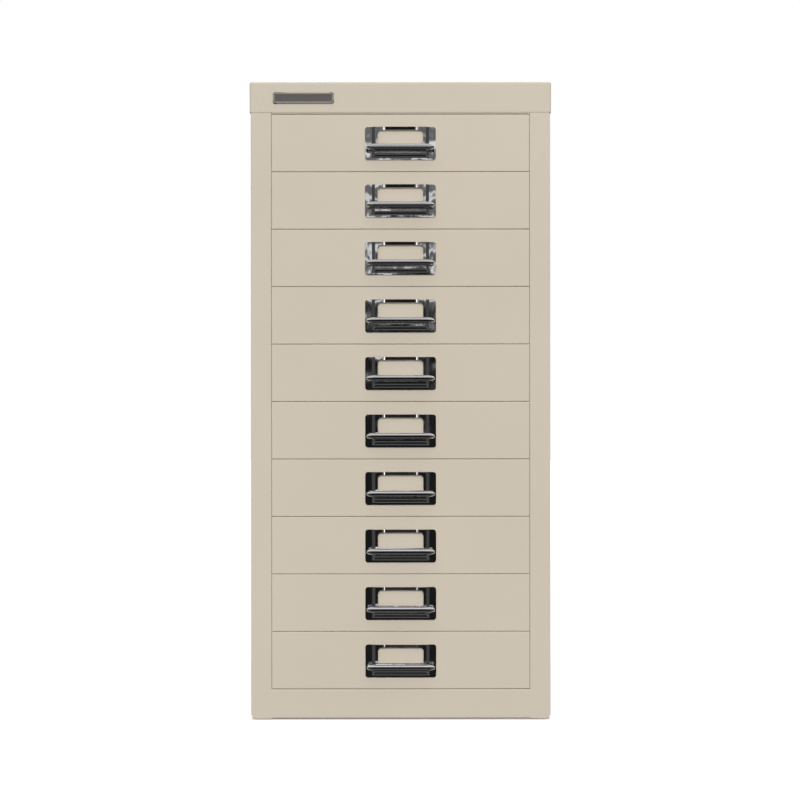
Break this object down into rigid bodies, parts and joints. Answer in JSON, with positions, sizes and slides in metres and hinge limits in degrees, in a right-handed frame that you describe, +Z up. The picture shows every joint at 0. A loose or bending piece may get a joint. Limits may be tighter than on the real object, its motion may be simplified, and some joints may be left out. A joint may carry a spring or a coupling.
{
  "type": "multi-drawer cabinet",
  "caption": "Tall narrow desktop cabinet of folded sheet steel with a lid-like cap and a column of shallow paper drawers, each with a chromed card-frame pull.",
  "frame": {"origin": "on the floor, in the middle of the whole cabinet's width and depth, pulls included", "axes": "+Z up, +X to the right of someone facing the drawers, +Y from the drawer fronts to the back"},
  "size_m": [0.279, 0.392, 0.59],
  "materials": {
    "painted_steel": "fine textured powder coat, cream beige, semi-matt",
    "chrome": "bright chrome plate on pressed steel, slightly wavy",
    "zinc_steel": "zinc plated sheet steel",
    "rubber": "black rubber, matt"
  },
  "bodies": {
    "cabinet": {"top_cap": "painted_steel", "left_side_panel": "painted_steel", "right_side_panel": "painted_steel", "back_panel": "painted_steel", "base_pan": "painted_steel", "top_front_rail": "painted_steel", "left_rear_upright": "zinc_steel", "right_rear_upright": "zinc_steel", "rubber_feet": "rubber", "badge_plate": "chrome", "left_track_01": "zinc_steel", "right_track_01": "zinc_steel", "left_track_02": "zinc_steel", "right_track_02": "zinc_steel", "left_track_03": "zinc_steel", "right_track_03": "zinc_steel", "left_track_04": "zinc_steel", "right_track_04": "zinc_steel", "left_track_05": "zinc_steel", "right_track_05": "zinc_steel", "left_track_06": "zinc_steel", "right_track_06": "zinc_steel", "left_track_07": "zinc_steel", "right_track_07": "zinc_steel", "left_track_08": "zinc_steel", "right_track_08": "zinc_steel", "left_track_09": "zinc_steel", "right_track_09": "zinc_steel", "left_track_10": "zinc_steel", "right_track_10": "zinc_steel"},
    "drawer_01": {"drawer_01_tray": "painted_steel", "drawer_01_front": "painted_steel", "drawer_01_pull": "chrome"},
    "drawer_02": {"drawer_02_tray": "painted_steel", "drawer_02_front": "painted_steel", "drawer_02_pull": "chrome"},
    "drawer_03": {"drawer_03_tray": "painted_steel", "drawer_03_front": "painted_steel", "drawer_03_pull": "chrome"},
    "drawer_04": {"drawer_04_tray": "painted_steel", "drawer_04_front": "painted_steel", "drawer_04_pull": "chrome"},
    "drawer_05": {"drawer_05_tray": "painted_steel", "drawer_05_front": "painted_steel", "drawer_05_pull": "chrome"},
    "drawer_06": {"drawer_06_tray": "painted_steel", "drawer_06_front": "painted_steel", "drawer_06_pull": "chrome"},
    "drawer_07": {"drawer_07_tray": "painted_steel", "drawer_07_front": "painted_steel", "drawer_07_pull": "chrome"},
    "drawer_08": {"drawer_08_tray": "painted_steel", "drawer_08_front": "painted_steel", "drawer_08_pull": "chrome"},
    "drawer_09": {"drawer_09_tray": "painted_steel", "drawer_09_front": "painted_steel", "drawer_09_pull": "chrome"},
    "drawer_10": {"drawer_10_tray": "painted_steel", "drawer_10_front": "painted_steel", "drawer_10_pull": "chrome"}
  },
  "joints": [
    {"name": "drawer_01_slide", "type": "slide", "parent": "cabinet", "child": "drawer_01", "axis": [0, -1, 0], "range_m": [0, 0.3]},
    {"name": "drawer_02_slide", "type": "slide", "parent": "cabinet", "child": "drawer_02", "axis": [0, -1, 0], "range_m": [0, 0.3]},
    {"name": "drawer_03_slide", "type": "slide", "parent": "cabinet", "child": "drawer_03", "axis": [0, -1, 0], "range_m": [0, 0.3]},
    {"name": "drawer_04_slide", "type": "slide", "parent": "cabinet", "child": "drawer_04", "axis": [0, -1, 0], "range_m": [0, 0.3]},
    {"name": "drawer_05_slide", "type": "slide", "parent": "cabinet", "child": "drawer_05", "axis": [0, -1, 0], "range_m": [0, 0.3]},
    {"name": "drawer_06_slide", "type": "slide", "parent": "cabinet", "child": "drawer_06", "axis": [0, -1, 0], "range_m": [0, 0.3]},
    {"name": "drawer_07_slide", "type": "slide", "parent": "cabinet", "child": "drawer_07", "axis": [0, -1, 0], "range_m": [0, 0.3]},
    {"name": "drawer_08_slide", "type": "slide", "parent": "cabinet", "child": "drawer_08", "axis": [0, -1, 0], "range_m": [0, 0.3]},
    {"name": "drawer_09_slide", "type": "slide", "parent": "cabinet", "child": "drawer_09", "axis": [0, -1, 0], "range_m": [0, 0.3]},
    {"name": "drawer_10_slide", "type": "slide", "parent": "cabinet", "child": "drawer_10", "axis": [0, -1, 0], "range_m": [0, 0.3]}
  ]
}
